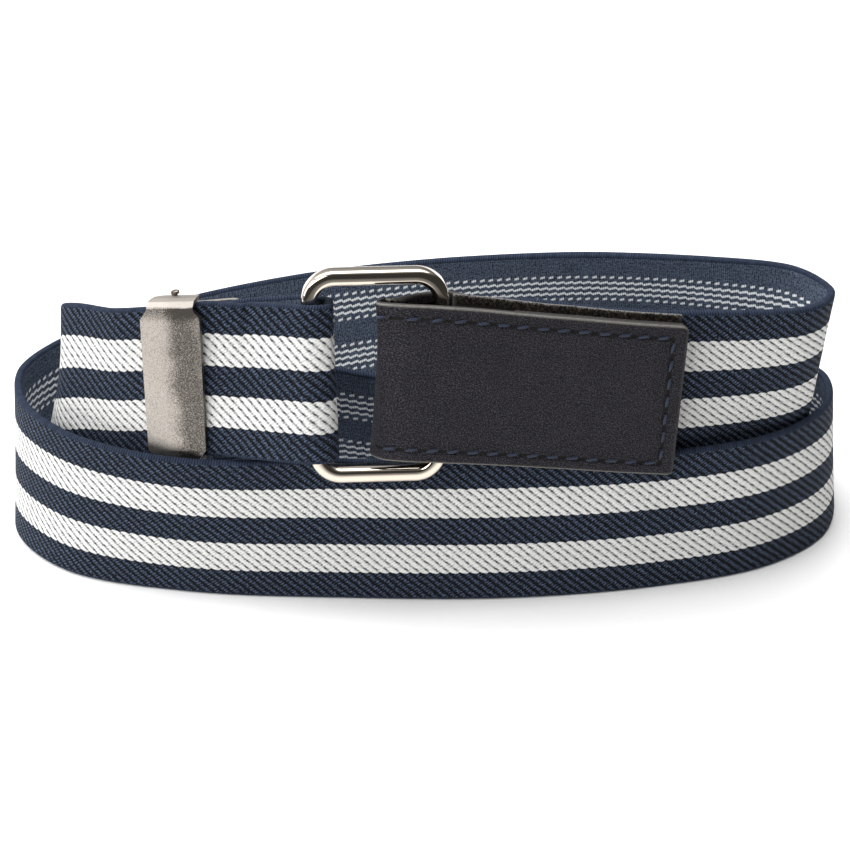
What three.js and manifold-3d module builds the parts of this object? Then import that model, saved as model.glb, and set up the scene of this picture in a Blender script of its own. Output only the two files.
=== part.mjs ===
import * as THREE from 'three';
import * as BufferGeometryUtils from 'three/addons/utils/BufferGeometryUtils.js';
import Module from 'manifold-3d';

// Elastic belt lying rolled in two turns, the ring and the leather fastener at the front.
// Millimetres, +Z up, front toward -Y.

const webbingWidth = 30;
const webbingThickness = 1.6;
const webbingSelvedge = 0.35;
const webbingStep = 3.2;

const leatherWidth = 30.4;
const leatherThickness = 1.3;
const leatherEdge = 0.3;
const leatherStep = 1.6;

const padThickness = 1;
const padEdge = 0.2;
const padHeight = 24.6;
const padAboveFlapEdge = 5.5;

const ringHeight = 40.2;
const ringWidth = 26.1;
const ringTaper = 0.035;
const ringBarWidth = 2.8;
const ringBarDepth = 4.3;
const ringBarRounding = 0.9;
const ringCornerRadius = 4.6;
const ringLean = 11.5;
const ringYaw = 3;
const ringCentre = new THREE.Vector3(-8.8, 1, 47.9);

const plateThickness = 0.9;
const pinHoleRadius = 0.72;
const pinDepth = 2.35;
const pinAcross = -0.9;
const boreHalfHeight = 18;
const knuckleRadius = 1.2;
const leverHalfHeight = 14.3;
const knuckleHalfHeight = 14.3;
const leverReach = 12.4;
const leverThickness = 0.9;
const leverDepth = 3.5;
const leverLift = 10.4;
const leverCorner = 2;
const sliderAlong = -45.6;
const sliderTwist = 3.5;

const roundSegments = 24;
const up = new THREE.Vector3(0, 0, 1);

// Bottom edge of the webbing from the slider round the ring and twice round the coil.
// Each row: where its lowest corner stands, and how far the top leans to the inside.
const webbingRows = [
  { x: -39.4, y: 5.1, z: 27.5, lean: -5.8, skew: 13 },
  { x: -37.3, y: 4.1, z: 28.1, lean: -7.4, skew: 12 },
  { x: -33.2, y: 2.3, z: 29.6, lean: -9.5, skew: 8.5 },
  { x: -27.5, y: 1.2, z: 31.1, lean: -11, skew: 5 },
  { x: -20.2, y: 1.0, z: 31.7, lean: -11 },
  { x: -17.5, y: 0.0, z: 31.9, lean: -7.4 },
  { x: -16.5, y: -2.5, z: 32.4, lean: 1.8 },
  { x: -17.5, y: -5.0, z: 32.9, lean: 8 },
  { x: -20.2, y: -6.1, z: 33.2, lean: 11 },
  { x: -27.0, y: -3.5, z: 32.2, lean: 10.5, skew: -4 },
  { x: -33.5, y: 0.0, z: 30.9, lean: 9.5, skew: -7 },
  { x: -38.0, y: 2.2, z: 30.2, lean: 7, skew: -10 },
  { x: -42.0, y: 4.1, z: 29.1, lean: 4.5, skew: -12 },
  { x: -46.0, y: 5.6, z: 28.0, lean: 4.5, skew: -12.5 },
  { x: -50.5, y: 7.2, z: 26.8, lean: 4, skew: -13 },
  { x: -57.0, y: 10.2, z: 24.8, lean: 4, skew: -14 },
  { x: -65.0, y: 15.4, z: 21.9, lean: 7, skew: -18 },
  { x: -71.6, y: 20.2, z: 18.4, lean: 11.1, skew: -19.9 },
  { x: -75.2, y: 26, z: 15.4, lean: 17.3, skew: -17.5 },
  { x: -74.8, y: 30.2, z: 13.8, lean: 6.2, skew: -4.9 },
  { x: -68.3, y: 34.1, z: 12, lean: -3, skew: 6.3 },
  { x: -42.2, y: 32.2, z: 10.6, lean: 8.3, skew: 4 },
  { x: -14.2, y: 31.4, z: 6.5, lean: 14, skew: -5 },
  { x: 15.8, y: 34.8, z: 2.2, lean: 21 },
  { x: 43.7, y: 42.1, z: 0.3, lean: 27 },
  { x: 65.1, y: 50.6, z: 0, lean: 31.9, skew: -0.6 },
  { x: 78.0, y: 52.2, z: 0, lean: 6.4, skew: -0.2 },
  { x: 82.2, y: 47.1, z: 0, lean: 16.7, skew: 1.2 },
  { x: 83.7, y: 34.8, z: 0, lean: 8 },
  { x: 79.5, y: 21.5, z: 0, lean: 3.5 },
  { x: 66.3, y: 10.5, z: 0, lean: 0.5 },
  { x: 44.5, y: 3.7, z: 0, lean: 0.5 },
  { x: 16.3, y: -0.3, z: 0, lean: 3.6 },
  { x: -15.6, y: -0.2, z: 0, lean: 2.6 },
  { x: -46.6, y: 2.2, z: 0, lean: -1 },
  { x: -70.1, y: 9.1, z: 0, lean: 6 },
  { x: -81.7, y: 22.9, z: 0, lean: 6.5 },
  { x: -81.1, y: 38.2, z: 0, lean: 1 },
  { x: -69.0, y: 50.9, z: 0.8, lean: -3.5 },
  { x: -46.7, y: 58.6, z: 4.4, lean: -3.5 },
  { x: -18.3, y: 61.5, z: 10.5, lean: 3 },
  { x: 11.8, y: 59.5, z: 17.4, lean: 13 },
  { x: 39.3, y: 52.2, z: 23.4, lean: 19 },
  { x: 61.1, y: 40.6, z: 26.6, lean: 17 },
  { x: 72.9, y: 28.4, z: 27.3, lean: 5.5 },
  { x: 73.8, y: 21.0, z: 26.9, lean: -5 },
  { x: 70.8, y: 17.1, z: 26.8, lean: -8.5 },
  { x: 64.5, y: 13.4, z: 26.8, lean: -7 },
  { x: 47.5, y: 7.4, z: 27.6, lean: 0 },
  { x: 36.0, y: 5.6, z: 28.6, lean: 1 },
  { x: 26.0, y: 4.8, z: 29.7, lean: 2 },
  { x: 19.0, y: 4.7, z: 30.5, lean: 3.5 },
  { x: 12.0, y: 4.5, z: 30.7, lean: 5 },
];

// Bottom edge of the leather: the flap from its free end, the loose fold, the part behind.
const leatherRows = [
  { x: 46.2, y: 1.8, z: 26.4, lean: 2.4, skew: 5 },
  { x: 36, y: 0.2, z: 27.9, lean: 2.6, skew: 5 },
  { x: 26, y: -1.1, z: 29.4, lean: 3, skew: 4.5 },
  { x: 14, y: -2.7, z: 31.1, lean: 4, skew: 4 },
  { x: 3.5, y: -4.4, z: 32.6, lean: 5.8, skew: 3.5 },
  { x: -4.2, y: -5, z: 33.3, lean: 6.8, skew: 3 },
  { x: -8, y: -4, z: 33.2, lean: 7, skew: 2 },
  { x: -9.6, y: -1.9, z: 33, lean: 6.8 },
  { x: -8.5, y: 0.2, z: 32.7, lean: 1 },
  { x: -5, y: 1.7, z: 32.2, lean: -4.5 },
  { x: -0.6, y: 2.9, z: 31.4, lean: -10.4 },
  { x: 3.4, y: 3, z: 31, lean: -11.1 },
  { x: 8, y: 2.4, z: 30.8, lean: -7 },
  { x: 12, y: 2.2, z: 30.8, lean: -4.6 },
  { x: 18.5, y: 2.8, z: 30.6, lean: -3.5 },
];

// Bottom edge of the loop tape, which lies on the leather's back part and then on the webbing.
const loopRows = [
  { x: 43.6, y: 4.7, z: 33.4, lean: 1.6 },
  { x: 36, y: 3.6, z: 34.4, lean: 1.9 },
  { x: 26, y: 2.4, z: 35.9, lean: 2.3 },
  { x: 19, y: 1.4, z: 37, lean: 3 },
  { x: 10, y: 0.7, z: 38.4, lean: 4, skew: 4 },
  { x: 5.4, y: 0.4, z: 39, lean: 4.5, skew: 8 },
];

// Slider plate from its lower ear's end to its upper ear's end, seen from the strap's middle.
const plateRows = [
  { depth: 3.5, height: -15.5, width: 7, crown: 0 },
  { depth: 2.4, height: -15.85, width: 7.8, crown: 0 },
  { depth: 1.1, height: -16.15, width: 8.2, crown: 0 },
  { depth: -0.2, height: -16.2, width: 8.4, crown: 0 },
  { depth: -1.1, height: -16.05, width: 8.6, crown: 0 },
  { depth: -1.7, height: -15.1, width: 9, crown: 0 },
  { depth: -1.75, height: -14.3, width: 10.4, crown: 0.1 },
  { depth: -1.75, height: -13.2, width: 12.2, crown: 0.3 },
  { depth: -1.75, height: 0, width: 12.3, crown: 0.45 },
  { depth: -1.75, height: 13.3, width: 12.3, crown: 0.3 },
  { depth: -1.75, height: 14.4, width: 10.4, crown: 0.1 },
  { depth: -1.7, height: 15.1, width: 9.6, crown: 0 },
  { depth: -1.1, height: 16.05, width: 9.6, crown: 0 },
  { depth: -0.2, height: 16.2, width: 9.5, crown: 0 },
  { depth: 1.1, height: 16.15, width: 9, crown: 0 },
  { depth: 2.4, height: 15.85, width: 8, crown: 0 },
  { depth: 3.5, height: 15.5, width: 6.6, crown: 0 },
];

// Riveted pin through both ears, from its lower head to its upper head.
const pinRows = [
  { height: -17.3, radius: 0.5 },
  { height: -17.15, radius: 0.8 },
  { height: -16.65, radius: 0.8 },
  { height: -16.6, radius: 0.42 },
  { height: 16.6, radius: 0.42 },
  { height: 16.65, radius: 0.8 },
  { height: 17.15, radius: 0.8 },
  { height: 17.3, radius: 0.5 },
];

const finishes = {
  webbing: { color: 0x2b3a55, roughness: 0.9, metalness: 0 },
  leather: { color: 0x33323a, roughness: 0.6, metalness: 0 },
  hook: { color: 0x3a3634, roughness: 0.95, metalness: 0 },
  loop: { color: 0x24262c, roughness: 0.95, metalness: 0 },
  satin: { color: 0xb5aca0, roughness: 0.35, metalness: 1 },
  polished: { color: 0xc8bba8, roughness: 0.15, metalness: 1 },
};

function cubic(before, start, end, after, f) {
  const a = 2 * start;
  const b = end - before;
  const c = 2 * before - 5 * start + 4 * end - after;
  const d = 3 * start - before - 3 * end + after;
  return (a + b * f + c * f * f + d * f * f * f) / 2;
}

function columnAt(rows, name, place) {
  const last = rows.length - 1;
  const start = Math.min(Math.floor(place), last - 1);
  const value = (index) => rows[THREE.MathUtils.clamp(index, 0, last)][name] ?? 0;
  return cubic(value(start - 1), value(start), value(start + 1), value(start + 2), place - start);
}

function pathOf(rows) {
  const points = rows.map((row) => new THREE.Vector3(row.x, row.y, row.z));
  return new THREE.CatmullRomCurve3(points, false, 'centripetal');
}

// Place, direction, width direction and inward normal of a leaning strip at one point.
function frameAt(rows, curve, share, thickness) {
  const t = curve.getUtoTmapping(share);
  const place = t * (rows.length - 1);
  const along = curve.getTangent(t);
  const upright = up.clone().addScaledVector(along, -up.dot(along)).normalize();
  const inside = new THREE.Vector3().crossVectors(along, upright);
  const lean = THREE.MathUtils.degToRad(columnAt(rows, 'lean', place));
  const skew = THREE.MathUtils.degToRad(columnAt(rows, 'skew', place));
  const rise = upright.multiplyScalar(Math.cos(lean)).addScaledVector(inside, Math.sin(lean));
  const normal = new THREE.Vector3().crossVectors(along, rise).normalize();
  rise.addScaledVector(along, Math.tan(skew));
  const foot = curve.getPoint(t);
  foot.z += Math.abs(Math.sin(lean)) * thickness / 2;
  return { foot, along, rise, normal };
}

function pointOf(frame, across, depth) {
  return frame.foot.clone()
    .addScaledVector(frame.rise, across)
    .addScaledVector(frame.normal, depth);
}

function faceOutward(geometry) {
  const position = geometry.getAttribute('position');
  const index = geometry.index.array;
  const corner = [new THREE.Vector3(), new THREE.Vector3(), new THREE.Vector3()];
  let volume = 0;
  for (let face = 0; face < index.length; face += 3) {
    corner.forEach((point, k) => point.fromBufferAttribute(position, index[face + k]));
    volume += corner[0].dot(corner[1].clone().cross(corner[2]));
  }
  if (volume < 0) {
    index.reverse();
  }
  return geometry;
}

// Closed body through a row of equal outlines, capped at both ends unless it runs round.
function skin(outlines, runsRound) {
  const size = outlines[0].length;
  const faces = [];
  const spans = runsRound ? outlines.length : outlines.length - 1;
  for (let span = 0; span < spans; span += 1) {
    const next = (span + 1) % outlines.length;
    for (let side = 0; side < size; side += 1) {
      const other = (side + 1) % size;
      const a = span * size + side;
      const b = span * size + other;
      const c = next * size + other;
      const d = next * size + side;
      faces.push(a, b, c, a, c, d);
    }
  }
  if (!runsRound) {
    const end = spans * size;
    for (let side = 1; side < size - 1; side += 1) {
      faces.push(0, side + 1, side);
      faces.push(end, end + side, end + side + 1);
    }
  }
  const geometry = new THREE.BufferGeometry().setFromPoints(outlines.flat());
  geometry.setIndex(faces);
  return faceOutward(geometry);
}

// Flat strip outline with its long edges taken off.
function stripOutline(low, high, depth, thickness, edge) {
  const half = thickness / 2;
  return [
    { across: low + edge, depth: depth - half },
    { across: high - edge, depth: depth - half },
    { across: high, depth: depth - half + edge },
    { across: high, depth: depth + half - edge },
    { across: high - edge, depth: depth + half },
    { across: low + edge, depth: depth + half },
    { across: low, depth: depth + half - edge },
    { across: low, depth: depth - half + edge },
  ];
}

function strip(rows, outline, thickness, step, from = 0, to = 1) {
  const curve = pathOf(rows);
  const count = Math.ceil(curve.getLength() * (to - from) / step);
  const outlines = [];
  for (let i = 0; i <= count; i += 1) {
    const frame = frameAt(rows, curve, from + (to - from) * i / count, thickness);
    outlines.push(outline.map((corner) => pointOf(frame, corner.across, corner.depth)));
  }
  return skin(outlines, false);
}

function buildWebbing() {
  const outline = stripOutline(0, webbingWidth, 0, webbingThickness, webbingSelvedge);
  return strip(webbingRows, outline, webbingThickness, webbingStep);
}

function buildLeather() {
  const outline = stripOutline(0, leatherWidth, 0, leatherThickness, leatherEdge);
  return strip(leatherRows, outline, leatherThickness, leatherStep);
}

function buildHookPad() {
  const depth = leatherThickness / 2 + 0.3 + padThickness / 2;
  const low = padAboveFlapEdge;
  const outline = stripOutline(low, low + padHeight, depth, padThickness, padEdge);
  return strip(leatherRows, outline, leatherThickness, leatherStep, 0.008, 0.365);
}

function buildLoopPad() {
  const outline = stripOutline(0, padHeight, 0, padThickness, padEdge);
  return strip(loopRows, outline, padThickness, leatherStep);
}

// Bar section of the ring, its four edges rounded.
function barSection() {
  const wide = ringBarWidth / 2 - ringBarRounding;
  const deep = ringBarDepth / 2 - ringBarRounding;
  const corners = [
    { x: wide, y: deep, turn: 0 },
    { x: -wide, y: deep, turn: 90 },
    { x: -wide, y: -deep, turn: 180 },
    { x: wide, y: -deep, turn: 270 },
  ];
  return corners.flatMap((corner) => [0, 45, 90].map((angle) => {
    const turn = THREE.MathUtils.degToRad(corner.turn + angle);
    return {
      outward: corner.x + ringBarRounding * Math.cos(turn),
      depth: corner.y + ringBarRounding * Math.sin(turn),
    };
  }));
}

function buildRing() {
  const wide = (ringWidth - ringBarWidth) / 2 - ringCornerRadius;
  const tall = (ringHeight - ringBarWidth) / 2 - ringCornerRadius;
  const corners = [
    { x: wide, z: tall, turn: 0 },
    { x: -wide, z: tall, turn: 90 },
    { x: -wide, z: -tall, turn: 180 },
    { x: wide, z: -tall, turn: 270 },
  ];
  const section = barSection();
  const outlines = corners.flatMap((corner) => [0, 15, 30, 45, 60, 75, 90].map((angle) => {
    const turn = THREE.MathUtils.degToRad(corner.turn + angle);
    return section.map((point) => {
      const reach = ringCornerRadius + point.outward;
      const x = corner.x + reach * Math.cos(turn);
      const z = corner.z + reach * Math.sin(turn);
      const widen = 1 + ringTaper * z / (ringHeight / 2);
      return new THREE.Vector3(x * widen, point.depth, z);
    });
  }));
  const geometry = skin(outlines, true);
  geometry.rotateX(-THREE.MathUtils.degToRad(ringLean));
  geometry.rotateZ(THREE.MathUtils.degToRad(ringYaw));
  return geometry.translate(ringCentre.x, ringCentre.y, ringCentre.z);
}

// Frame of the slider: the webbing's own frame where the front layer passes x = sliderAlong.
function sliderFrame() {
  const curve = pathOf(webbingRows);
  const samples = 4000;
  let best = null;
  for (let i = 0; i <= samples / 4; i += 1) {
    const share = i / samples;
    const frame = frameAt(webbingRows, curve, share, webbingThickness);
    const isFront = frame.along.x < 0;
    if (isFront && frame.foot.x < sliderAlong) {
      best = frame;
      break;
    }
  }
  const rise = best.rise.clone().normalize();
  const twist = Math.tan(THREE.MathUtils.degToRad(sliderTwist));
  const right = best.along.clone().negate().addScaledVector(rise, -twist).normalize();
  const matrix = new THREE.Matrix4().makeBasis(right, best.normal, rise);
  matrix.setPosition(pointOf(best, webbingWidth / 2, 0));
  return matrix;
}

function toManifold(wasm, geometry) {
  const bare = new THREE.BufferGeometry();
  bare.setAttribute('position', geometry.getAttribute('position').clone());
  if (geometry.index) {
    bare.setIndex(geometry.index.clone());
  }
  const merged = BufferGeometryUtils.mergeVertices(bare, 1e-4);
  const mesh = new wasm.Mesh({
    numProp: 3,
    vertProperties: new Float32Array(merged.getAttribute('position').array),
    triVerts: new Uint32Array(merged.index.array),
  });
  return new wasm.Manifold(mesh);
}

function fromManifold(solid) {
  const mesh = solid.getMesh();
  const geometry = new THREE.BufferGeometry();
  const values = new Float32Array(mesh.vertProperties);
  geometry.setAttribute('position', new THREE.BufferAttribute(values, 3));
  geometry.setIndex(Array.from(mesh.triVerts));
  return geometry;
}

function upright(radius, halfHeight) {
  const geometry = new THREE.CylinderGeometry(radius, radius, 2 * halfHeight, roundSegments);
  geometry.rotateX(Math.PI / 2);
  return geometry.translate(pinAcross, pinDepth, 0);
}

function plateBlank() {
  const stations = [-1, -0.6, -0.2, 0.2, 0.6, 1];
  const outlines = plateRows.map((row, i) => {
    const before = plateRows[Math.max(i - 1, 0)];
    const after = plateRows[Math.min(i + 1, plateRows.length - 1)];
    const run = new THREE.Vector2(after.depth - before.depth, after.height - before.height);
    run.normalize();
    const outer = [];
    const inner = [];
    stations.forEach((station) => {
      const bulge = row.crown * (1 - station * station);
      [outer, inner].forEach((side, k) => {
        const offset = (k === 0 ? -1 : 1) * plateThickness / 2 - bulge;
        side.push(new THREE.Vector3(
          station * row.width / 2,
          row.depth + offset * run.y,
          row.height - offset * run.x,
        ));
      });
    });
    return outer.concat(inner.reverse());
  });
  return skin(outlines, false);
}

function buildPlate(wasm) {
  const hole = toManifold(wasm, upright(pinHoleRadius, boreHalfHeight));
  return fromManifold(toManifold(wasm, plateBlank()).subtract(hole));
}

function leverBlade() {
  const shape = new THREE.Shape();
  const tall = leverHalfHeight;
  const reach = leverReach;
  shape.moveTo(0, -tall);
  shape.lineTo(reach - leverCorner, -tall);
  shape.quadraticCurveTo(reach, -tall, reach, leverCorner - tall);
  shape.lineTo(reach, tall - leverCorner);
  shape.quadraticCurveTo(reach, tall, reach - leverCorner, tall);
  shape.lineTo(0, tall);
  const blade = new THREE.ExtrudeGeometry(shape, {
    depth: leverThickness,
    bevelEnabled: false,
    curveSegments: 5,
  });
  blade.rotateX(Math.PI / 2);
  blade.translate(0, leverDepth - pinDepth + leverThickness / 2, 0);
  blade.rotateZ(THREE.MathUtils.degToRad(leverLift));
  return blade.translate(pinAcross, pinDepth, 0);
}

function buildLever(wasm) {
  const knuckle = toManifold(wasm, upright(knuckleRadius, knuckleHalfHeight));
  const bore = toManifold(wasm, upright(pinHoleRadius, boreHalfHeight));
  const blade = toManifold(wasm, leverBlade());
  return fromManifold(knuckle.add(blade).subtract(bore));
}

function buildPin() {
  const outlines = pinRows.map((row) => Array.from({ length: roundSegments }, (_, k) => {
    const angle = k / roundSegments * 2 * Math.PI;
    const across = pinAcross + row.radius * Math.cos(angle);
    const depth = pinDepth + row.radius * Math.sin(angle);
    return new THREE.Vector3(across, depth, row.height);
  }));
  return skin(outlines, false);
}

function named(name, geometry, finish) {
  const material = new THREE.MeshStandardMaterial(finish);
  const mesh = new THREE.Mesh(geometry, material);
  mesh.name = name;
  return mesh;
}

async function build() {
  const wasm = await Module();
  wasm.setup();
  const slider = sliderFrame();
  const group = new THREE.Group();
  group.name = 'elastic_belt';
  group.add(named('webbing', buildWebbing(), finishes.webbing));
  group.add(named('ring', buildRing(), finishes.polished));
  group.add(named('leather_tab', buildLeather(), finishes.leather));
  group.add(named('hook_pad', buildHookPad(), finishes.hook));
  group.add(named('loop_pad', buildLoopPad(), finishes.loop));
  group.add(named('slider_plate', buildPlate(wasm).applyMatrix4(slider), finishes.satin));
  group.add(named('slider_lever', buildLever(wasm).applyMatrix4(slider), finishes.satin));
  group.add(named('slider_pin', buildPin().applyMatrix4(slider), finishes.satin));
  const box = new THREE.Box3().setFromObject(group);
  const middle = box.getCenter(new THREE.Vector3());
  group.children.forEach((mesh) => mesh.geometry.translate(-middle.x, -middle.y, -box.min.z));
  return group;
}

export default await build();
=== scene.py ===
import math
import random
from bisect import bisect_left

import bmesh
import bpy
from mathutils import Matrix, Vector


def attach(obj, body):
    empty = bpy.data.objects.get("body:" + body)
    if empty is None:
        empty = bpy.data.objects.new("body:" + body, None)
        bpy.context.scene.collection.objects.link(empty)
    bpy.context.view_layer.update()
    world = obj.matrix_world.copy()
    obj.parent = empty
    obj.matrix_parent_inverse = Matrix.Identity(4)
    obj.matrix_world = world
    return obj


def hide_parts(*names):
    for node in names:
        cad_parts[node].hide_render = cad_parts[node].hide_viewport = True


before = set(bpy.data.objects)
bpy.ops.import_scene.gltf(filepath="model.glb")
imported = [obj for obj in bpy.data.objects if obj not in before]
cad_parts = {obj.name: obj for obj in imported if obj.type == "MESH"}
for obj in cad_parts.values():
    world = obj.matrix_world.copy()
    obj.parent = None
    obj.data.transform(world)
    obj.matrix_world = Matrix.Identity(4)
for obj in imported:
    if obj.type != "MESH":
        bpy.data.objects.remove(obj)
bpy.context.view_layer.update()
print("frame loaded")

mm = 0.001
random.seed(7)

# where the path tables' zero lies in the belt's own frame, in mm
pathZero = Vector((-0.54624, -27.74382, 0.03324))


# camera
view = {
    "place": (-0.546, -368.844, 235.033),  # mm
    "aim": (-0.546, -5.144, 25.033),
    "lens": 90.76,
    "sensor": 36,
}


def pointAt(obj, aim):
    look = Vector(aim) - obj.location
    obj.rotation_euler = look.to_track_quat("-Z", "Y").to_euler()


def addCamera():
    data = bpy.data.cameras.new("camera")
    data.lens = view["lens"]
    data.sensor_width = view["sensor"]
    data.clip_start = 0.01
    camera = bpy.data.objects.new("camera", data)
    bpy.context.scene.collection.objects.link(camera)
    camera.location = Vector(view["place"]) * mm
    pointAt(camera, Vector(view["aim"]) * mm)
    bpy.context.scene.camera = camera


addCamera()
print("camera set")


# shader maths: a socket that adds, multiplies and compares
class Signal:
    def __init__(self, shader, socket):
        self.shader = shader
        self.socket = socket

    def math(self, operation, *values):
        inputs = {i: value for i, value in enumerate(values)}
        return self.shader.add("ShaderNodeMath", {"operation": operation}, inputs)

    def __add__(self, other):
        return self.math("ADD", self, other)

    def __radd__(self, other):
        return self.math("ADD", other, self)

    def __sub__(self, other):
        return self.math("SUBTRACT", self, other)

    def __rsub__(self, other):
        return self.math("SUBTRACT", other, self)

    def __mul__(self, other):
        return self.math("MULTIPLY", self, other)

    def __rmul__(self, other):
        return self.math("MULTIPLY", other, self)

    def __truediv__(self, other):
        return self.math("DIVIDE", self, other)

    def __rtruediv__(self, other):
        return self.math("DIVIDE", other, self)

    def __lt__(self, other):
        return self.math("LESS_THAN", self, other)

    def fract(self):
        return self.math("FRACT", self)

    def size(self):
        return self.math("ABSOLUTE", self)

    def least(self, other):
        return self.math("MINIMUM", self, other)

    def most(self, other):
        return self.math("MAXIMUM", self, other)

    # 0 below low, 1 above high, smooth between
    def ramp(self, low, high):
        settings = {"interpolation_type": "SMOOTHSTEP"}
        inputs = {"Value": self, "From Min": low, "From Max": high}
        return self.shader.add("ShaderNodeMapRange", settings, inputs)


class Shader:
    def __init__(self, name):
        self.material = bpy.data.materials.new(name)
        self.material.use_nodes = True
        self.nodes = self.material.node_tree.nodes
        self.links = self.material.node_tree.links
        self.nodes.clear()

    def add(self, kind, settings=None, inputs=None, output=0):
        node = self.nodes.new(kind)
        for key, value in (settings or {}).items():
            setattr(node, key, value)
        for key, value in (inputs or {}).items():
            if isinstance(value, Signal):
                self.links.new(value.socket, node.inputs[key])
            else:
                node.inputs[key].default_value = value
        return Signal(self, node.outputs[output]) if node.outputs else node

    def split(self, vector):
        node = self.add("ShaderNodeSeparateXYZ", None, {0: vector}).socket.node
        return [Signal(self, socket) for socket in node.outputs]

    def join(self, x, y, z):
        return self.add("ShaderNodeCombineXYZ", None, {0: x, 1: y, 2: z})

    # place on the cloth in mm: along the strap, across it
    def clothPlace(self):
        place = self.add("ShaderNodeUVMap", {"uv_map": "cloth"})
        u, v, unused = self.split(place)
        return u * 1000.0, v * 1000.0

    def objectPlace(self):
        return self.add("ShaderNodeTexCoord", None, None, "Object")

    def noise(self, vector, scale, detail=2.0, roughness=0.5):
        inputs = {"Vector": vector, "Scale": scale, "Detail": detail, "Roughness": roughness}
        return self.add("ShaderNodeTexNoise", None, inputs)

    def blend(self, share, first, second):
        settings = {"data_type": "RGBA"}
        return self.add("ShaderNodeMix", settings, {0: share, 6: first, 7: second}, 2)

    def bump(self, height, distance, strength):
        inputs = {"Height": height, "Distance": distance * mm, "Strength": strength}
        return self.add("ShaderNodeBump", None, inputs)

    def surface(self, **sockets):
        inputs = {socketNames[key]: value for key, value in sockets.items()}
        finish = self.add("ShaderNodeBsdfPrincipled", None, inputs)
        self.add("ShaderNodeOutputMaterial", None, {"Surface": finish})
        return self.material


socketNames = {
    "color": "Base Color",
    "metallic": "Metallic",
    "roughness": "Roughness",
    "normal": "Normal",
    "specular": "Specular IOR Level",
    "sheen": "Sheen Weight",
}


def hexColor(text):
    def linear(value):
        return value / 12.92 if value <= 0.04045 else ((value + 0.055) / 1.055) ** 2.4

    return tuple(linear(int(text[i:i + 2], 16) / 255) for i in (1, 3, 5)) + (1.0,)


# finishes
striped = {
    "navyDark": "#05080f",
    "navyLight": "#55647d",
    "whiteDark": "#787b80",
    "whiteLight": "#ecebe8",
    "slit": "#272c33",
    "bands": (0.2, 0.4, 0.6, 0.8),  # shares of the width
    "cellLength": 1.9,  # mm along the strap, one twill ridge to the next
    "cellHeight": 1.5,
    "scallop": 0.3,  # how far the yarn ends step over a stripe's edge
}


def makeStripedFace():
    s = striped
    shader = Shader("stripedFace")
    u, v = shader.clothPlace()
    cloth = shader.join(u, v, 0.0)
    wobble = shader.noise(cloth, 0.5, 2.0) - 0.5
    fibre = shader.noise(shader.join(u * 1.2, v * 3.4, 0.0), 1.5, 3.0, 0.65) - 0.5
    slow = shader.noise(cloth, 0.09, 2.0) - 0.5
    fleck = shader.noise(cloth, 2.3, 2.0, 0.75) - 0.5
    a = u / s["cellLength"] + wobble * 0.3 + fleck * 0.1
    b = v / s["cellHeight"] + slow * 0.12 + fleck * 0.1
    ridgeShare = (a - b + 0.5).fract()
    off = ridgeShare * 2 - 1
    ridge = 1 - off * off
    strokeOff = ((a + b) * 2 + fibre * 0.3).fract() * 2 - 1
    stroke = 1 - strokeOff * strokeOff

    # a stripe's edges are scalloped by the yarn ends
    reach = (ridge - 0.5) * s["scallop"]
    width = strap["width"]
    low, lowTop, high, highTop = [edge * width for edge in s["bands"]]
    soft = 0.1
    white = None
    for bottom, top in ((low, lowTop), (high, highTop)):
        above = (v + reach).ramp(bottom - soft, bottom + soft)
        below = 1 - (v - reach).ramp(top - soft, top + soft)
        white = above * below if white is None else white + above * below

    # short dark slits on the ridges' flanks, one to a cell: navy weft showing through, deepened by
    # painted shade
    slitPlace = (off * -1).most(off)
    rowOff = ((b + wobble * 0.1).fract() - 0.5).size()
    slit = slitPlace.ramp(0.62, 0.9) * (1 - (rowOff + fibre * 0.25).ramp(0.08, 0.26))
    flank = slitPlace.ramp(0.35, 1.0)

    # the ridges paint the colour too: painted highlight on the crests and painted shade in the
    # grooves; the flecks and fibres are the yarn's own colour
    body = ridge * 0.78 + stroke * stroke * 0.4 + fibre * 0.5
    shade = body * 1.4 + fleck * 3.0 - 0.97
    navy = shader.blend(shade, hexColor(s["navyDark"]), hexColor(s["navyLight"]))
    # the flanks of the white ridges get painted shade
    shade = body * 0.8 + fleck * 2.2 + 0.26 - flank * 0.26
    pale = shader.blend(shade, hexColor(s["whiteDark"]), hexColor(s["whiteLight"]))
    pale = shader.blend(slit * 0.9, pale, hexColor(s["slit"]))
    color = shader.blend(white, navy, pale)
    height = ridge * 0.9 + stroke * 0.25 - slit * white * 0.5 + fibre * 0.4 + fleck * 0.5
    return shader.surface(
        color=color, roughness=body * -0.1 + 0.9, specular=0.2,
        normal=shader.bump(height, 0.26, 0.9))


reverse = {
    "navyDark": "#0c121c",
    "navyLight": "#6c798e",
    "white": "#f8fafc",
    "ribPitch": 0.42,
    "rowPitch": 1.5,
    "firstRows": (5.8, 18.2),  # mm from the lower edge
    "stepPitch": 1.85,
    "stepRise": 0.55,
}


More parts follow.
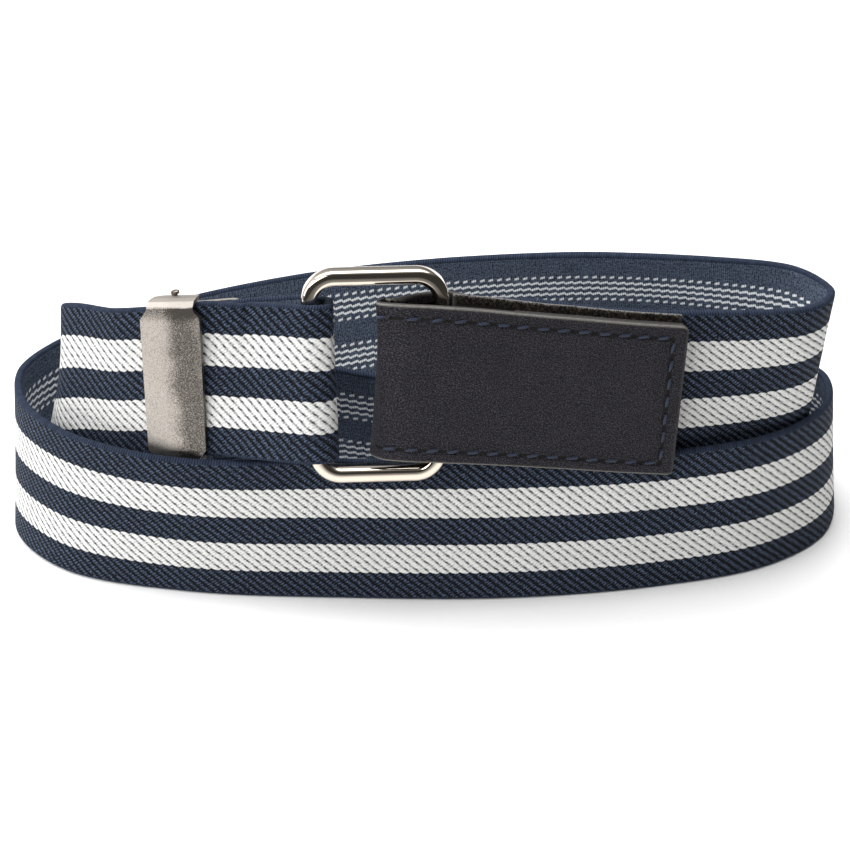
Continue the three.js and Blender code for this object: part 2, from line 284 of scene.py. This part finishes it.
def makeStripedBack():
    s = reverse
    shader = Shader("stripedBack")
    u, v = shader.clothPlace()
    cloth = shader.join(u, v, 0.0)
    wobble = shader.noise(cloth, 0.6, 2.0) - 0.5
    streak = shader.noise(shader.join(u * 0.25, v * 1.6, 0.0), 1.0, 3.0)
    speck = shader.noise(cloth, 2.4, 3.0, 0.6)
    rib = ((u / s["ribPitch"] + wobble * 0.5).fract() * 2 - 1).size()
    rib = 1 - rib * rib

    # white yarns climb in beads and drop back at each step
    step = (u / s["stepPitch"] + wobble * 0.1).fract()
    climb = step.least((1 - step) * 4.5) * s["stepRise"] - s["stepRise"] * 0.42
    beadOff = (step * 4).fract() * 2 - 1
    bead = 1 - beadOff * beadOff
    white = None
    for first in s["firstRows"]:
        for row in range(5):
            middle = first + row * s["rowPitch"]
            off = (v - climb - middle + wobble * 0.1).size() - bead * 0.14
            line = 1 - off.ramp(0.1, 0.3)
            if row in (0, 4):
                line = line * (1 - (step - 0.42).size().ramp(0.22, 0.32))
            white = line if white is None else white.most(line)
    shine = white * (bead * 0.45 + 0.55)
    shade = (speck - 0.5) * 2.4 + rib * 0.35 + (streak - 0.5) * 0.6 + 0.22
    navy = shader.blend(shade, hexColor(s["navyDark"]), hexColor(s["navyLight"]))
    color = shader.blend(shine.ramp(0.15, 0.85), navy, hexColor(s["white"]))
    height = rib * 0.5 + shine * 0.8 + speck * 0.6
    return shader.surface(
        color=color, roughness=speck * 0.1 + 0.85, specular=0.2,
        normal=shader.bump(height, 0.14, 0.8))


selvedge = {
    "navyDark": "#0d131f",
    "navyLight": "#39455b",
    "ribPitch": 0.52,
}


def makeSelvedge():
    s = selvedge
    shader = Shader("stripedEdge")
    u, v = shader.clothPlace()
    place = shader.add("ShaderNodeUVMap", {"uv_map": "cloth"})
    wobble = shader.noise(place, 700.0, 2.0) - 0.5
    rib = ((u / s["ribPitch"] + wobble * 0.6).fract() * 2 - 1).size()
    rib = 1 - rib * rib
    navy = shader.blend(rib * 0.6 + wobble * 0.9, hexColor(s["navyDark"]), hexColor(s["navyLight"]))
    return shader.surface(
        color=navy, roughness=wobble * 0.1 + 0.88, specular=0.2,
        normal=shader.bump(rib * 0.8 + wobble * 0.3, 0.2, 0.9))


leather = {
    "dark": "#070609",
    "light": "#484550",
    "edge": "#57534f",
    "thickness": 1.3,  # mm
    "width": 30.4,
    "rounding": 0.32,
    "corner": 1.2,
    "cell": 1.0,
    "step": 0.3,
    "stitchPitch": 3.76,
    "stitchInset": 2.5,
    "endInset": 2.7,
    "holeShade": (0.001, 0.001, 0.001, 1.0),
}


def makeLeather():
    s = leather
    shader = Shader("blackLeather")
    u, v = shader.clothPlace()
    cloth = shader.join(u, v, 0.0)
    grainInputs = {"Vector": cloth, "Scale": 1.9, "Randomness": 1.0}
    cell = shader.add("ShaderNodeTexVoronoi", {"feature": "DISTANCE_TO_EDGE"}, grainInputs)
    cloud = shader.noise(cloth, 0.16, 4.0, 0.6)
    fine = shader.noise(cloth, 4.2, 2.0, 0.7)
    crease = cell.ramp(0.0, 0.22)
    inset = s["stitchInset"]
    fromEdge = v.least(s["width"] - v)
    nearest = fromEdge.least(u + (inset - s["endInset"]))
    channel = 1 - (nearest - inset).size().ramp(0.25, 0.8)
    # needle holes between the stitches, painted black as painted shade inside them
    along = ((u - s["endInset"]) / s["stitchPitch"]).fract()
    top = s["width"] - inset
    rows = round((top - inset) / s["stitchPitch"])
    upward = ((v - inset) * (rows / (top - inset))).fract()
    alongHole = 1 - ((along - 0.5).size() * -1 + 0.5).ramp(0.14, 0.24)
    upHole = 1 - ((upward - 0.5).size() * -1 + 0.5).ramp(0.14, 0.24)
    isEnd = u < s["endInset"] + 0.4
    hole = (upHole * isEnd + alongHole * (1 - isEnd)) * (1 - (nearest - inset).size().ramp(0.2, 0.42))
    worn = 1 - fromEdge.least(u).ramp(0.2, 0.7)
    shade = (cloud - 0.5) * 0.6 + (fine - 0.5) * 9.0 + crease * 0.6 - 0.2
    color = shader.blend(shade, hexColor(s["dark"]), hexColor(s["light"]))
    color = shader.blend(worn * 0.5, color, hexColor(s["edge"]))
    color = shader.blend(hole, color, s["holeShade"])
    height = crease * 0.5 + fine * 0.9 + cloud * 0.4 - channel * 1.5 - hole * 3.0
    return shader.surface(
        color=color, roughness=cloud * 0.2 + fine * 0.12 + 0.36, specular=0.2,
        normal=shader.bump(height, 0.34, 1.0))


def makeCutEdge(name, dark, light):
    shader = Shader(name)
    u, v = shader.clothPlace()
    place = shader.objectPlace()
    streak = shader.noise(shader.join(u * 1.4, v * 5.0, 0.0), 1.0, 3.0, 0.6)
    speck = shader.noise(place, 2500.0, 3.0, 0.7)
    color = shader.blend(streak * 0.9 + speck * 0.8 - 0.35, hexColor(dark), hexColor(light))
    return shader.surface(
        color=color, roughness=speck * 0.2 + 0.5, specular=0.3, normal=shader.bump(speck, 0.08, 0.7))


def makeThread():
    shader = Shader("navyThread")
    place = shader.objectPlace()
    x, y, z = shader.split(place)
    twist = (((x + z) * 1000.0 / 0.35).fract() * 2 - 1).size()
    fluff = shader.noise(place, 3000.0, 2.0)
    color = shader.blend(twist * 0.5 + fluff * 0.4, hexColor("#070e1a"), hexColor("#283a58"))
    return shader.surface(
        color=color, roughness=fluff * 0.2 + 0.6, sheen=0.1, normal=shader.bump(twist, 0.06, 0.8))


def makeTape(name, dark, light):
    shader = Shader(name)
    u, v = shader.clothPlace()
    cloth = shader.join(u, v, 0.0)
    fluff = shader.noise(cloth, 1.8, 4.0, 0.7)
    speck = shader.noise(cloth, 5.0, 2.0, 0.6)
    color = shader.blend(fluff * 0.9 + speck * 0.4 - 0.2, hexColor(dark), hexColor(light))
    return shader.surface(
        color=color, roughness=fluff * 0.1 + 0.88, sheen=0.2, specular=0.2,
        normal=shader.bump(fluff + speck * 0.5, 0.3, 0.9))


def makeFluff():
    shader = Shader("loopFluff")
    speck = shader.noise(shader.objectPlace(), 1800.0, 2.0, 0.7)
    color = shader.blend((speck - 0.5) * 3.0 + 0.3, hexColor("#14110f"), hexColor("#6a6258"))
    return shader.surface(color=color, roughness=speck * 0.1 + 0.85, specular=0.2)


def makeMetal(name, color, dark, roughness, grain):
    shader = Shader(name)
    place = shader.objectPlace()
    cloud = shader.noise(place, 160.0, 3.0, 0.6)
    speck = shader.noise(place, 1500.0, 3.0, 0.6)
    tone = shader.blend(cloud * 0.7 + speck * 0.3 - 0.2, hexColor(dark), hexColor(color))
    rough = cloud * roughness * 0.5 + speck * roughness * 0.5 + roughness * 0.5
    return shader.surface(
        color=tone, metallic=1.0, roughness=rough, normal=shader.bump(speck, grain, 0.6))


# satin plate with painted shade: its nickel darkened to the right of the middle, in place of a dark
# reflection
paintedPlateShade = {
    "light": "#b2aba3",
    "dark": "#4a4642",
    "lipHeight": 57.9,  # mm, where the folded lip ends
    "lipMiddle": -52.5,
    "lipSlope": 0.19,
    "middle": -47.0,  # mm along X at the height below
    "height": 43.0,
    "slope": 0.056,
    "half": 6.1,
}


def makePlateMetal():
    s = paintedPlateShade
    shader = Shader("satinPlate")
    place = shader.objectPlace()
    x, y, z = shader.split(place)
    grain = shader.noise(place, 4800.0, 2.0, 0.7)
    cloud = shader.noise(place, 170.0, 3.0, 0.6)
    side = (x * 1000.0 - s["middle"] + (z * 1000.0 - s["height"]) * s["slope"]) / s["half"]
    side = side + (cloud - 0.5) * 0.9
    shadow = side.ramp(-0.35, 0.45) * (1 - side.ramp(0.75, 1.1) * 0.35)
    # painted highlight on the folded lip, and painted shade on the plate right under it
    lipRise = (x * 1000.0 - s["lipMiddle"]) * s["lipSlope"]
    aboveLip = z * 1000.0 - s["lipHeight"] - lipRise + (cloud - 0.5) * 0.8
    lip = aboveLip.ramp(-0.2, 0.3)
    under = aboveLip.ramp(-3.0, -0.3) * (1 - lip)
    # the painted shadow band and the painted shade under the lip darken the tone, the painted lip
    # highlight lightens it; the grain is the metal's own
    shade = (shadow * 0.75 + (grain - 0.5) * 2.6 + 0.12) * (1 - lip * 0.8) + under * 0.55
    tone = shader.blend(shade, hexColor(s["light"]), hexColor(s["dark"]))
    return shader.surface(
        color=tone, metallic=1.0, roughness=grain * 0.2 + 0.3, normal=shader.bump(grain, 0.05, 0.7))


# the strips' paths
# columns: x, y, z of the lower edge (mm), lean to the inside and skew (degrees)
webbingRows = [
    (-39.4, 5.1, 27.5, -5.8, 13),
    (-37.3, 4.1, 28.1, -7.4, 12),
    (-33.2, 2.3, 29.6, -9.5, 8.5),
    (-27.5, 1.2, 31.1, -11, 5),
    (-20.2, 1, 31.7, -11, 0),
    (-17.5, 0, 31.9, -7.4, 0),
    (-16.5, -2.5, 32.4, 1.8, 0),
    (-17.5, -5, 32.9, 8, 0),
    (-20.2, -6.1, 33.2, 11, 0),
    (-27, -3.5, 32.2, 10.5, -4),
    (-33.5, 0, 30.9, 9.5, -7),
    (-38, 2.2, 30.2, 7, -10),
    (-42, 4.1, 29.1, 4.5, -12),
    (-46, 5.6, 28, 4.5, -12.5),
    (-50.5, 7.2, 26.8, 4, -13),
    (-57, 10.2, 24.8, 4, -14),
    (-65, 15.4, 21.9, 7, -18),
    (-71.6, 20.2, 18.4, 11.1, -19.9),
    (-75.2, 26, 15.4, 17.3, -17.5),
    (-74.8, 30.2, 13.8, 6.2, -4.9),
    (-68.3, 34.1, 12, -3, 6.3),
    (-42.2, 32.2, 10.6, 8.3, 4),
    (-14.2, 31.4, 6.5, 14, -5),
    (15.8, 34.8, 2.2, 21, 0),
    (43.7, 42.1, 0.3, 27, 0),
    (65.1, 50.6, 0, 31.9, -0.6),
    (78, 52.2, 0, 6.4, -0.2),
    (82.2, 47.1, 0, 16.7, 1.2),
    (83.7, 34.8, 0, 8, 0),
    (79.5, 21.5, 0, 3.5, 0),
    (66.3, 10.5, 0, 0.5, 0),
    (44.5, 3.7, 0, 0.5, 0),
    (16.3, -0.3, 0, 3.6, 0),
    (-15.6, -0.2, 0, 2.6, 0),
    (-46.6, 2.2, 0, -1, 0),
    (-70.1, 9.1, 0, 6, 0),
    (-81.7, 22.9, 0, 6.5, 0),
    (-81.1, 38.2, 0, 1, 0),
    (-69, 50.9, 0.8, -3.5, 0),
    (-46.7, 58.6, 4.4, -3.5, 0),
    (-18.3, 61.5, 10.5, 3, 0),
    (11.8, 59.5, 17.4, 13, 0),
    (39.3, 52.2, 23.4, 19, 0),
    (61.1, 40.6, 26.6, 17, 0),
    (72.9, 28.4, 27.3, 5.5, 0),
    (73.8, 21, 26.9, -5, 0),
    (70.8, 17.1, 26.8, -8.5, 0),
    (64.5, 13.4, 26.8, -7, 0),
    (47.5, 7.4, 27.6, 0, 0),
    (36, 5.6, 28.6, 1, 0),
    (26, 4.8, 29.7, 2, 0),
    (19, 4.7, 30.5, 3.5, 0),
    (12, 4.5, 30.7, 5, 0),
]

leatherRows = [
    (46.2, 1.8, 26.4, 2.4, 5),
    (36, 0.2, 27.9, 2.6, 5),
    (26, -1.1, 29.4, 3, 4.5),
    (14, -2.7, 31.1, 4, 4),
    (3.5, -4.4, 32.6, 5.8, 3.5),
    (-4.2, -5, 33.3, 6.8, 3),
    (-8, -4, 33.2, 7, 2),
    (-9.6, -1.9, 33, 6.8, 0),
    (-8.5, 0.2, 32.7, 1, 0),
    (-5, 1.7, 32.2, -4.5, 0),
    (-0.6, 2.9, 31.4, -10.4, 0),
    (3.4, 3, 31, -11.1, 0),
    (8, 2.4, 30.8, -7, 0),
    (12, 2.2, 30.8, -4.6, 0),
    (18.5, 2.8, 30.6, -3.5, 0),
]

loopRows = [
    (43.6, 4.7, 33.4, 1.6, 0),
    (36, 3.6, 34.4, 1.9, 0),
    (26, 2.4, 35.9, 2.3, 0),
    (19, 1.4, 37, 3, 0),
    (10, 0.7, 38.4, 4, 4),
    (5.4, 0.4, 39, 4.5, 8),
]


def cubicAt(before, start, end, after, f):
    b = end - before
    c = 2 * before - 5 * start + 4 * end - after
    d = 3 * start - before - 3 * end + after
    return (2 * start + b * f + c * f * f + d * f ** 3) / 2


# a leaning strip that follows a table's lower edge, as the solids do
class StripPath:
    def __init__(self, rows, thickness):
        self.rows = rows
        self.thickness = thickness
        self.points = [Vector(row[:3]) + pathZero for row in rows]
        self.points.insert(0, self.points[0] * 2 - self.points[1])
        self.points.append(self.points[-1] * 2 - self.points[-2])
        self.last = len(rows) - 1
        self.places = [i / 60 for i in range(self.last * 60 + 1)]
        self.distances = [0.0]
        for start, end in zip(self.places, self.places[1:]):
            gap = (self.curve(end)[0] - self.curve(start)[0]).length
            self.distances.append(self.distances[-1] + gap)
        self.length = self.distances[-1]

    def curve(self, place):
        start = min(int(place), self.last - 1)
        f = place - start
        a, b, c, d = self.points[start:start + 4]
        gaps = [(q - p).length ** 0.5 for p, q in ((a, b), (b, c), (c, d))]
        slopeIn = (b - a) / gaps[0] - (c - a) / (gaps[0] + gaps[1]) + (c - b) / gaps[1]
        slopeOut = (c - b) / gaps[1] - (d - b) / (gaps[1] + gaps[2]) + (d - c) / gaps[2]
        slopeIn *= gaps[1]
        slopeOut *= gaps[1]
        square = c * 3 - b * 3 - slopeIn * 2 - slopeOut
        cube = b * 2 - c * 2 + slopeIn + slopeOut
        point = b + slopeIn * f + square * f * f + cube * f ** 3
        slope = slopeIn + square * 2 * f + cube * 3 * f * f
        return point, slope.normalized()

    def column(self, index, place):
        start = min(int(place), self.last - 1)
        near = [self.rows[min(max(i, 0), self.last)][index] for i in range(start - 1, start + 3)]
        return cubicAt(*near, place - start)

    def placeAt(self, distance):
        i = min(max(bisect_left(self.distances, distance), 1), len(self.distances) - 1)
        low, high = self.distances[i - 1], self.distances[i]
        share = min(max((distance - low) / (high - low), 0), 1)
        return self.places[i - 1] + (self.places[i] - self.places[i - 1]) * share

    def stand(self, distance):
        place = self.placeAt(distance)
        foot, along = self.curve(place)
        upright = (Vector((0, 0, 1)) - along * along.z).normalized()
        inside = along.cross(upright)
        lean = math.radians(self.column(3, place))
        skew = math.radians(self.column(4, place))
        rise = upright * math.cos(lean) + inside * math.sin(lean)
        normal = along.cross(rise).normalized()
        rise += along * math.tan(skew)
        foot.z += abs(math.sin(lean)) * self.thickness / 2
        return foot, along, rise, normal

    def point(self, stand, across, depth):
        foot, along, rise, normal = stand
        return (foot + rise * across + normal * depth) * mm


# outline of a strip: across, depth, material of the side that starts there
def roundOutline(low, high, depth, thickness, rounding, cell, arcs, rim=2):
    half = thickness / 2
    corners = [
        (low + rounding, depth - half + rounding, 180, 270),
        (high - rounding, depth - half + rounding, 270, 360),
        (high - rounding, depth + half - rounding, 0, 90),
        (low + rounding, depth + half - rounding, 90, 180),
    ]
    cells = round((high - low - 2 * rounding) / cell)
    outline = []
    for i, (across, middle, start, end) in enumerate(corners):
        for k in range(arcs + 1):
            turn = math.radians(start + (end - start) * k / arcs)
            side = (0, 2, 1, 2)[i] if k == arcs else (rim, rim, 2, 2)[i]
            place = across + rounding * math.cos(turn)
            outline.append((place, middle + rounding * math.sin(turn), side))
        if i in (0, 2):
            nextAcross = corners[i + 1][0]
            edge = depth - half if i == 0 else depth + half
            for k in range(1, cells):
                share = k / cells
                outline.append((across + (nextAcross - across) * share, edge, 0 if i == 0 else 1))
    return outline


# mm run along a strip's edge up to each of its stands
def edgeRun(path, stands, across):
    points = [path.point(stand, across, 0) for stand in stands]
    runs = [0.0]
    for first, second in zip(points, points[1:]):
        runs.append(runs[-1] + (second - first).length / mm)
    return runs


def sameShape(distance, across, depth):
    return across, depth


def makeStrip(name, path, outline, step, materials, start=0, stop=None, shape=sameShape, woven=False):
    stop = path.length if stop is None else stop
    columns = round((stop - start) / step)
    sides = len(outline)
    bm = bmesh.new()
    layer = bm.loops.layers.uv.new("cloth")
    bmesh.ops.create_grid(bm, x_segments=columns, y_segments=sides, size=0.5)
    stops = [start + (stop - start) * i / columns for i in range(columns + 1)]
    stands = [path.stand(distance) for distance in stops]
    width = max(across for across, depth, side in outline)
    lows = highs = [distance - start for distance in stops]
    ahead = 0
    # woven cloth runs on evenly along both edges
    if woven:
        lows = edgeRun(path, stands, 0)
        highs = edgeRun(path, stands, width)
        foot, along, rise, normal = stands[0]
        ahead = rise.dot(along) * width
    for face in bm.faces:
        side = min(int((face.calc_center_median().y + 0.5) * sides), sides - 1)
        face.material_index = outline[side][2]
        face.smooth = True
        for loop in face.loops:
            i = round((loop.vert.co.x + 0.5) * columns)
            across = outline[round((loop.vert.co.y + 0.5) * sides) % sides][0]
            run = lows[i] + (highs[i] - lows[i] + ahead) * across / width
            loop[layer].uv = ((start + run) * mm, across * mm)
    for vert in bm.verts:
        i = round((vert.co.x + 0.5) * columns)
        across, depth, unused = outline[round((vert.co.y + 0.5) * sides) % sides]
        across, depth = shape(stops[i], across, depth)
        vert.co = path.point(stands[i], across, depth)
    bmesh.ops.remove_doubles(bm, verts=bm.verts, dist=1e-6)
    rims = [edge for edge in bm.edges if edge.is_boundary]
    capped = bmesh.ops.holes_fill(bm, edges=rims, sides=0)
    for face in capped["faces"]:
        face.material_index = len(materials) - 1
        for loop in face.loops:
            loop[layer].uv = (start * mm, 0)
    bmesh.ops.recalc_face_normals(bm, faces=bm.faces)
    return finishPiece(name, bm, materials)


def finishPiece(name, bm, materials):
    mesh = bpy.data.meshes.new(name)
    bm.to_mesh(mesh)
    bm.free()
    for material in materials:
        mesh.materials.append(material)
    piece = bpy.data.objects.new(name, mesh)
    bpy.context.scene.collection.objects.link(piece)
    return piece


# webbing
strap = {
    "width": 30.0,  # mm
    "thickness": 1.6,
    "rounding": 0.62,
    "step": 0.9,
    "cell": 1.0,
}

webbingPath = StripPath(webbingRows, strap["thickness"])
outline = roundOutline(0, strap["width"], 0, strap["thickness"], strap["rounding"], strap["cell"], 4)
webbing = makeStrip(
    "stripedWebbing", webbingPath, outline, strap["step"],
    [makeStripedFace(), makeStripedBack(), makeSelvedge()], woven=True)
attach(webbing, "belt")
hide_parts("webbing")
print("webbing made,", round(webbingPath.length, 1), "mm long,", len(webbing.data.polygons), "faces")


# leather tab
def tabShape(distance, across, depth):
    corner = leather["corner"]
    middle = leather["width"] / 2
    if distance < corner:
        inset = corner - math.sqrt(corner ** 2 - (corner - distance) ** 2)
        across = middle + (across - middle) * (middle - inset) / middle
    if distance < 0.3:
        depth *= 0.7 + distance
    return across, depth


leatherPath = StripPath(leatherRows, leather["thickness"])
outline = roundOutline(
    0, leather["width"], 0, leather["thickness"], leather["rounding"], leather["cell"], 3, 3)
leatherFinish = makeLeather()
tab = makeStrip(
    "leatherTab", leatherPath, outline, leather["step"],
    [leatherFinish, leatherFinish, makeCutEdge("cutEdge", "#1c1b1b", "#4a4845"),
     makeCutEdge("paintedRim", "#33322f", "#85827d")], shape=tabShape)
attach(tab, "belt")
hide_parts("leather_tab")

stitch = {
    "length": 2.3,
    "radius": 0.3,
    "flapEnd": 57.5,  # mm along the tab from its free end
}


def makeStitching():
    bm = bmesh.new()
    spots = []
    inset = leather["stitchInset"]
    pitch = leather["stitchPitch"]
    top = leather["width"] - inset
    run = stitch["flapEnd"] - leather["endInset"]
    for across in (inset, top):
        for i in range(int(run / pitch)):
            spots.append((leather["endInset"] + (i + 0.5) * pitch, across, False))
    rows = round((top - inset) / pitch)
    for i in range(rows):
        spots.append((leather["endInset"], inset + (i + 0.5) * (top - inset) / rows, True))
    for distance, across, isUpright in spots:
        stand = leatherPath.stand(distance)
        foot, along, rise, normal = stand
        rise = rise.normalized()
        along = rise.cross(normal).normalized()
        run, side = (rise, along) if isUpright else (along, rise)
        tilt = random.uniform(-0.22, -0.06)
        run = (run + side * tilt).normalized()
        side = normal.cross(run)
        half = Matrix((run * stitch["length"] / 2, side * stitch["radius"], normal * stitch["radius"]))
        matrix = half.transposed().to_4x4()
        for row in range(3):
            for column in range(3):
                matrix[row][column] *= mm
        matrix.translation = leatherPath.point(stand, across, -leather["thickness"] / 2)
        bmesh.ops.create_uvsphere(bm, u_segments=8, v_segments=6, radius=1, matrix=matrix)
    for face in bm.faces:
        face.smooth = True
    bmesh.ops.recalc_face_normals(bm, faces=bm.faces)
    return finishPiece("tabStitching", bm, [makeThread()])


stitching = makeStitching()
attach(stitching, "belt")
print("leather tab made,", len(tab.data.polygons), "faces")


# touch tape
tape = {
    "thickness": 1.0,
    "height": 24.6,
    "aboveEdge": 5.5,
    "hookDepth": 1.45,
    "hookFrom": 0.008,  # shares of the tab's length
    "hookTo": 0.365,
    "rounding": 0.3,
    "cell": 1.0,
    "step": 0.8,
}

loopPath = StripPath(loopRows, tape["thickness"])
hookFinish = makeTape("hookTape", "#151517", "#3c3936")
loopFinish = makeTape("loopTape", "#0b0a0a", "#38332e")
backing = makeTape("tapeBacking", "#38383a", "#807e7c")
outline = roundOutline(
    tape["aboveEdge"], tape["aboveEdge"] + tape["height"], tape["hookDepth"], tape["thickness"],
    tape["rounding"], tape["cell"], 3)
hook = makeStrip(
    "hookTape", leatherPath, outline, tape["step"], [hookFinish] * 3,
    tape["hookFrom"] * leatherPath.length, tape["hookTo"] * leatherPath.length)
outline = roundOutline(0, tape["height"], 0, tape["thickness"], tape["rounding"], tape["cell"], 3)
loop = makeStrip(
    "loopTape", loopPath, outline, tape["step"], [loopFinish, backing, backing, loopFinish])
for piece, node in ((hook, "hook_pad"), (loop, "loop_pad")):
    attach(piece, "belt")
    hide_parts(node)

# loops that stand out of the loop tape along its top edge
pile = {
    "count": 2600,
    "radius": 0.09,
    "length": 0.5,
    "band": 1.5,  # mm down from the tape's top edge
}


def makePile():
    bm = bmesh.new()
    for i in range(pile["count"]):
        stand = loopPath.stand(random.uniform(0.4, loopPath.length - 0.4))
        foot, along, rise, normal = stand
        out = rise.normalized() * random.uniform(0.1, 0.9) - normal * random.uniform(0.3, 1)
        out = (out + along * random.uniform(-0.8, 0.8)).normalized()
        length = pile["length"] * random.uniform(0.6, 1.2) * mm
        across = tape["height"] - pile["band"] * random.random()
        matrix = out.to_track_quat("Z", "Y").to_matrix().to_4x4()
        matrix.translation = loopPath.point(stand, across, -tape["thickness"] / 2) + out * length / 2
        bmesh.ops.create_cone(
            bm, cap_ends=True, segments=4, depth=length, matrix=matrix,
            radius1=pile["radius"] * mm, radius2=pile["radius"] * 0.6 * mm)
    bmesh.ops.recalc_face_normals(bm, faces=bm.faces)
    return finishPiece("loopPile", bm, [makeFluff()])


tufts = makePile()
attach(tufts, "belt")
print("touch tape made,", len(tufts.data.polygons), "faces of pile")


# ring
ringShape = {
    "height": 40.2,  # mm, outside
    "width": 26.1,
    "taper": 0.035,
    "barWidth": 2.8,
    "barDepth": 4.3,
    "rounding": 0.9,
    "corner": 4.6,
    "lean": 11.5,  # degrees
    "yaw": 3.0,
    "centre": (-8.8, 1.0, 47.9),
}


def makeRing():
    r = ringShape
    wide = (r["width"] - r["barWidth"]) / 2 - r["corner"]
    tall = (r["height"] - r["barWidth"]) / 2 - r["corner"]
    bm = bmesh.new()
    # the bar's section lies across the start of the first corner
    bmesh.ops.create_grid(bm, x_segments=1, y_segments=1, size=0.5)
    bmesh.ops.scale(bm, vec=(r["barWidth"], r["barDepth"], 1), verts=bm.verts)
    bmesh.ops.bevel(
        bm, geom=list(bm.verts), offset=r["rounding"], affect="VERTICES", segments=6, profile=0.5,
        material=-1)
    bmesh.ops.delete(bm, geom=list(bm.faces), context="FACES_ONLY")
    bmesh.ops.translate(bm, vec=(wide + r["corner"], 0, tall), verts=bm.verts)
    rim = list(bm.edges)
    corners = [((wide, tall), (-2 * wide, 0)), ((-wide, tall), (0, -2 * tall)),
               ((-wide, -tall), (2 * wide, 0)), ((wide, -tall), (0, 2 * tall))]
    for (x, z), (moveX, moveZ) in corners:
        turned = bmesh.ops.spin(
            bm, geom=rim, cent=(x, 0, z), axis=(0, -1, 0), dvec=(0, 0, 0), angle=math.pi / 2, steps=14)
        rim = [item for item in turned["geom_last"] if isinstance(item, bmesh.types.BMEdge)]
        grown = bmesh.ops.extrude_edge_only(bm, edges=rim)
        rim = [item for item in grown["geom"] if isinstance(item, bmesh.types.BMEdge)]
        verts = [item for item in grown["geom"] if isinstance(item, bmesh.types.BMVert)]
        bmesh.ops.translate(bm, vec=(moveX, 0, moveZ), verts=verts)
    bmesh.ops.remove_doubles(bm, verts=bm.verts, dist=1e-3)
    for vert in bm.verts:
        vert.co.x *= 1 + r["taper"] * vert.co.z / (r["height"] / 2)
    for axis, angle in (("X", -r["lean"]), ("Z", r["yaw"])):
        turn = Matrix.Rotation(math.radians(angle), 3, axis)
        bmesh.ops.rotate(bm, cent=(0, 0, 0), matrix=turn, verts=bm.verts)
    bmesh.ops.translate(bm, vec=Vector(r["centre"]) + pathZero, verts=bm.verts)
    bmesh.ops.scale(bm, vec=(mm, mm, mm), verts=bm.verts)
    for face in bm.faces:
        face.smooth = True
    bmesh.ops.recalc_face_normals(bm, faces=bm.faces)
    polished = makeMetal("polishedNickel", "#e0d6c9", "#d3c8b9", 0.06, 0.001)
    return finishPiece("nickelRing", bm, [polished])


ring = makeRing()
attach(ring, "belt")
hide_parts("ring")
print("ring made,", len(ring.data.polygons), "faces")


# slider
satin = makeMetal("satinNickel", "#efe9e0", "#cfc8bd", 0.3, 0.02)
steel = makeMetal("steelPin", "#8f877c", "#5a544c", 0.25, 0.01)
finishes = {"slider_plate": makePlateMetal(), "slider_lever": satin, "slider_pin": steel}
for node, finish in finishes.items():
    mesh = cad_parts[node].data
    mesh.materials.clear()
    mesh.materials.append(finish)
print("slider finished")


# studio
studio = {
    "floorSize": 3.0,  # metres
    "skyLeast": 0.05,
    "skyRange": 0.95,
    "lightAim": (0, 0, 0.03),
}

# columns: name, place (metres), width and depth (metres), watts
lightBoxes = [
    ("topBox", (-0.1, 0.15, 0.8), (1.0, 0.7), 9.6),
    ("leftBox", (-0.75, -0.35, 0.42), (0.5, 0.6), 2.4),
    ("frontBox", (-0.3, -0.55, 0.42), (0.4, 0.25), 1.4),
]


def makeFloorFinish():
    shader = Shader("paleFloor")
    place = shader.objectPlace()
    x, y, z = shader.split(place)
    cloud = shader.noise(place, 3.0, 2.0)
    pale = shader.blend(cloud, hexColor("#f6f6f6"), hexColor("#fafafa"))
    # painted shade: it falls off to grey in front of the picture, a dark surround which the metal
    # mirrors
    color = shader.blend((y * -1).ramp(0.14, 0.4), pale, hexColor("#808080"))
    return shader.surface(color=color, roughness=cloud * 0.1 + 0.8, specular=0.2)


def addFloor():
    bm = bmesh.new()
    bmesh.ops.create_grid(bm, x_segments=1, y_segments=1, size=studio["floorSize"] / 2)
    floor = finishPiece("floor", bm, [makeFloorFinish()])


def addLight(name, place, size, power):
    data = bpy.data.lights.new(name, "AREA")
    data.shape = "RECTANGLE"
    data.size, data.size_y = size
    data.energy = power
    light = bpy.data.objects.new(name, data)
    bpy.context.scene.collection.objects.link(light)
    light.location = place
    pointAt(light, studio["lightAim"])


# soft sky, bright above and to the left, dark in front of the belt
def addSky():
    world = bpy.data.worlds.new("studio")
    world.use_nodes = True
    shader = Shader.__new__(Shader)
    shader.nodes = world.node_tree.nodes
    shader.links = world.node_tree.links
    shader.nodes.clear()
    x, y, z = shader.split(shader.add("ShaderNodeTexCoord"))
    glow = (z * 0.75 - x * 0.55 + y * 0.35).ramp(0.1, 0.95)
    strength = glow * studio["skyRange"] + studio["skyLeast"]
    back = shader.add("ShaderNodeBackground", None, {"Color": (1, 1, 1, 1), "Strength": strength})
    shader.add("ShaderNodeOutputWorld", None, {"Surface": back})
    bpy.context.scene.world = world


addFloor()
addSky()
for box in lightBoxes:
    addLight(*box)
bpy.context.scene.view_settings.view_transform = "Standard"
print("studio set")
